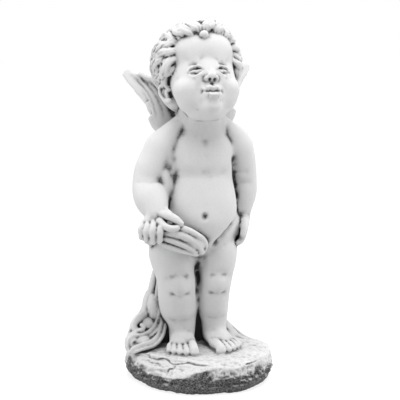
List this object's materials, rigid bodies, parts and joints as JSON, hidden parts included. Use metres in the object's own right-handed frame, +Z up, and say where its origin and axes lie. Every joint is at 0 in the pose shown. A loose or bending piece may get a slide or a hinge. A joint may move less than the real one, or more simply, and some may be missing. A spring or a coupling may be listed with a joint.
{
  "type": "angel figurine",
  "caption": "Standing winged child on a flat rock, holding a cloth across the hips, cast in stone as a single solid.",
  "frame": {"origin": "on the underside of the rock, below the middle of the rock", "axes": "+Z up, the figure faces -Y, and its left hand is on the +X side"},
  "size_m": [0.216, 0.2012, 0.5066],
  "materials": {
    "cast_stone": "matt white cast stone with a dark wash left in the hollows"
  },
  "bodies": {
    "root": {"cherub_figurine": "cast_stone"}
  },
  "joints": []
}
